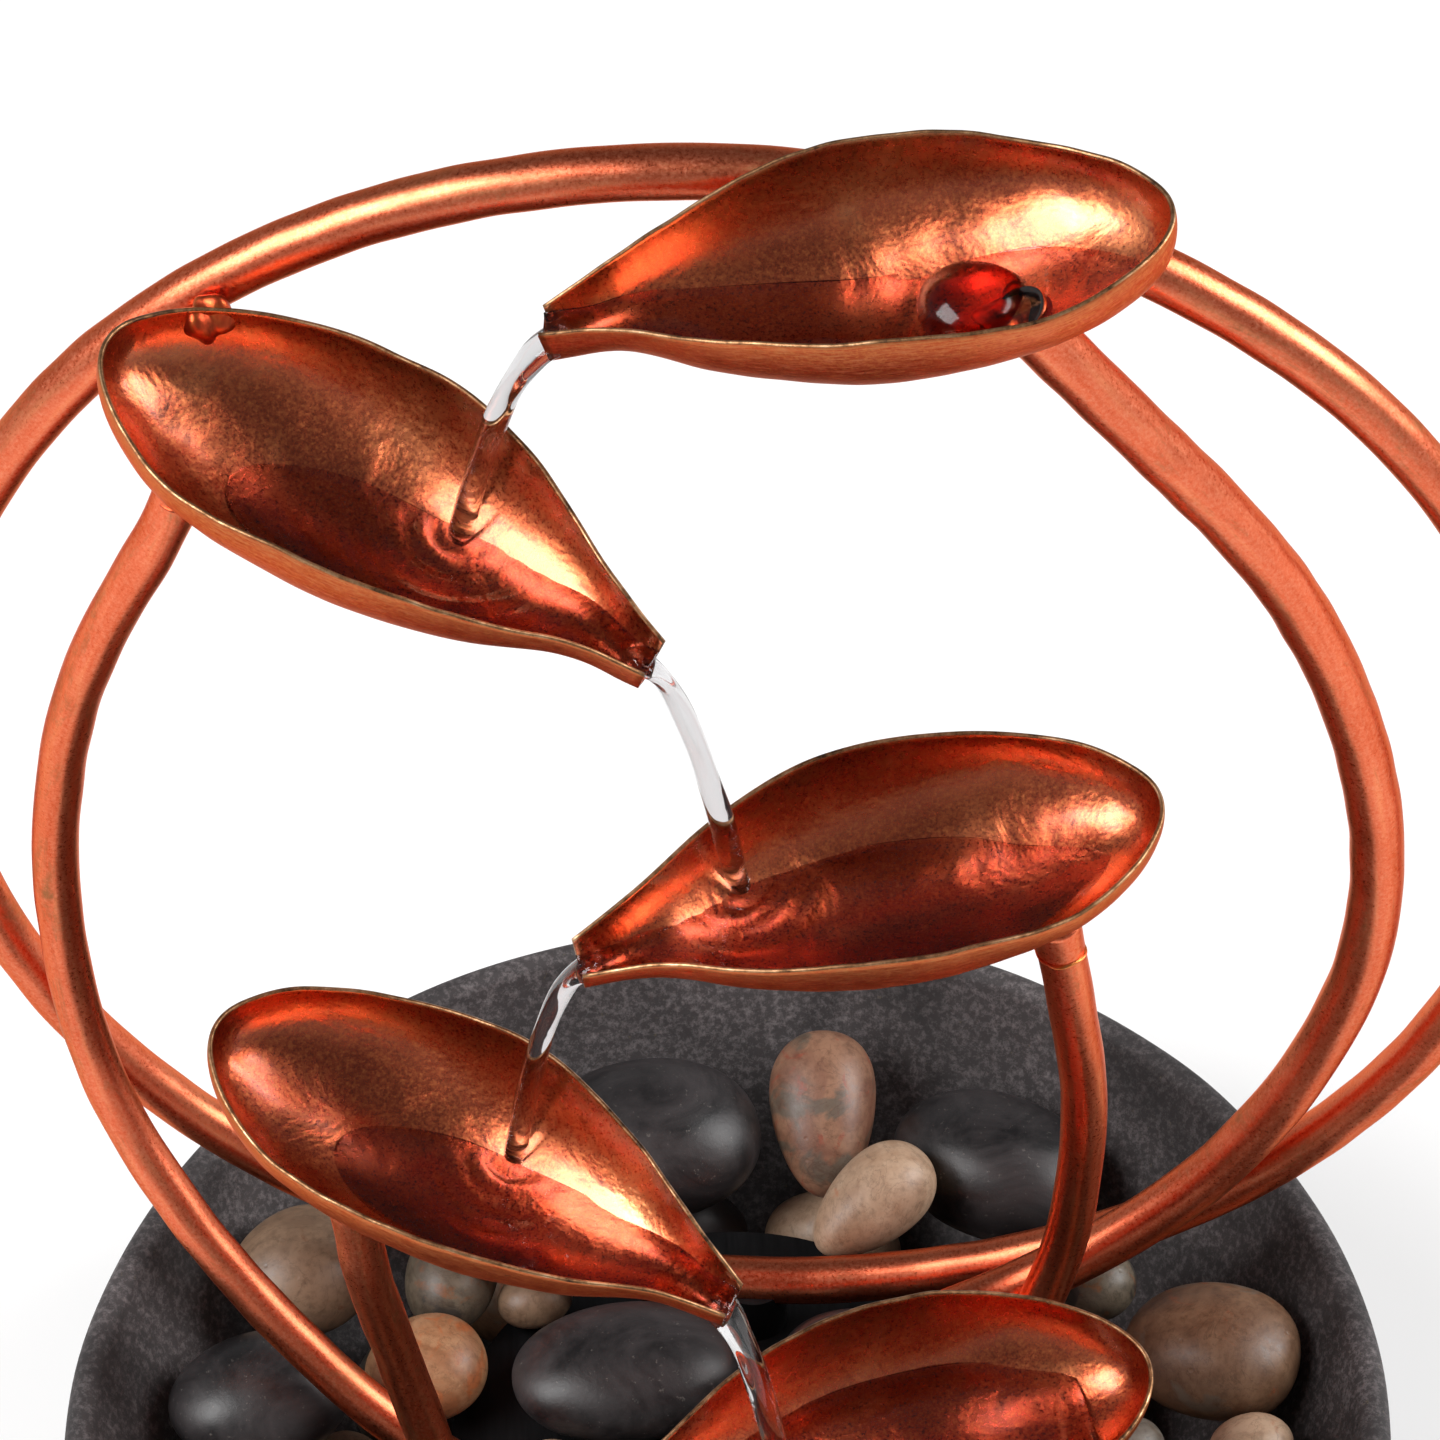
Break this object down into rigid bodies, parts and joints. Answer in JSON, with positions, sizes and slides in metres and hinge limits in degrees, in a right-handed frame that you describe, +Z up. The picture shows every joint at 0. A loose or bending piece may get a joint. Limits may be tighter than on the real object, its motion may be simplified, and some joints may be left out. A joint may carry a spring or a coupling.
{
  "type": "tabletop water fountain",
  "caption": "Tabletop fountain: curved copper-coloured tubes rise from a pebble-filled stone bowl and carry leaf-shaped cups that pour water from one to the next.",
  "frame": {"origin": "centre of the flat underside of the bowl's foot pad, on the table", "axes": "+Z up; +X to the right and +Y to the back for a person facing the open side of the leaf cups"},
  "size_m": [0.2854, 0.244, 0.3435],
  "materials": {
    "bowl_stone": "matt cast stone effect, charcoal with grey mottling",
    "pad": "matt foam rubber",
    "copper_leaf": "satin metallic copper, worn edge",
    "copper_tube": "satin metallic copper",
    "solder": "lumpy joint under copper finish",
    "deck_steel": "dark painted steel",
    "clear_hose": "soft clear vinyl",
    "core_steel": "laminated steel",
    "shaft_ceramic": "polished ceramic",
    "magnet": "dark ferrite",
    "pump_rubber": "soft rubber",
    "pump_plastic": "moulded black plastic",
    "dial_plastic": "moulded grey plastic",
    "pebble_black": "tumbled smooth, damp",
    "pebble_cream": "tumbled smooth",
    "pebble_pink": "tumbled smooth",
    "pebble_mottled": "tumbled smooth",
    "pebble_orange": "tumbled smooth",
    "pebble_tan": "tumbled smooth"
  },
  "bodies": {
    "bowl_assembly": {"bowl": "bowl_stone", "foot_pad": "pad", "outlet_adapter": "pump_plastic", "pebble_brown": "pebble_tan", "pebble_dark_mottled": "pebble_mottled", "pebble_egg": "pebble_pink", "pebble_mottled": "pebble_mottled", "pebbles_black_rim": "pebble_black", "pebbles_cream_front": "pebble_cream", "pebbles_lower": "pebble_black", "pebbles_small_rim": "pebble_tan", "pebbles_tan": "pebble_tan", "pump_cable_gland": "pump_rubber", "pump_coil_cores": "core_steel", "pump_housing": "pump_plastic", "pump_resin_seal": "pump_plastic", "pump_shaft": "shaft_ceramic", "pump_suction_feet": "pump_rubber", "rear_shaft_bush": "pump_rubber"},
    "fountain_frame": {"ring_tube": "copper_tube", "feed_tube": "copper_tube", "left_support_tube": "copper_tube", "leaf_3_stem": "copper_tube", "leaf_4_stem": "copper_tube", "leaf_5_stem": "copper_tube", "leaf_1": "copper_leaf", "leaf_2": "copper_leaf", "leaf_3": "copper_leaf", "leaf_4": "copper_leaf", "leaf_5": "copper_leaf", "solder_ring_leaf_1": "solder", "solder_ring_leaf_2": "solder", "solder_leaf_2_support": "solder", "solder_leaf_3_stem": "solder", "solder_leaf_4_stem": "solder", "solder_leaf_5_stem": "solder", "solder_feed_inlet": "solder", "deck_plate": "deck_steel", "deck_legs": "deck_steel", "ring_saddle": "copper_tube", "outlet_hose": "clear_hose", "pebbles_black_deck": "pebble_black", "pebbles_small_deck": "pebble_tan", "pebbles_front_deck": "pebble_tan", "pebble_cream": "pebble_cream", "pebble_orange": "pebble_orange"},
    "pump_rotor": {"impeller_wheel": "pump_plastic", "rotor_magnet": "magnet"},
    "intake_cover": {"pump_intake_cover": "pump_plastic", "front_shaft_bush": "pump_rubber"},
    "regulator": {"flow_regulator": "dial_plastic"}
  },
  "joints": [
    {"name": "frame_lift", "type": "slide", "parent": "bowl_assembly", "child": "fountain_frame", "axis": [0, 0, 1], "range_m": [0, 0.08]},
    {"name": "intake_cover_pull", "type": "slide", "parent": "bowl_assembly", "child": "intake_cover", "axis": [0, -1, 0], "range_m": [0, 0.02]},
    {"name": "regulator_turn", "type": "hinge", "parent": "intake_cover", "child": "regulator", "pos_m": [0.008, -0.0145, 0.024], "axis": [0, -1, 0], "range_deg": [0, 90]},
    {"name": "impeller_spin", "type": "hinge", "parent": "bowl_assembly", "child": "pump_rotor", "pos_m": [0.008, 0.006, 0.024], "axis": [0, 1, 0], "continuous": true}
  ]
}
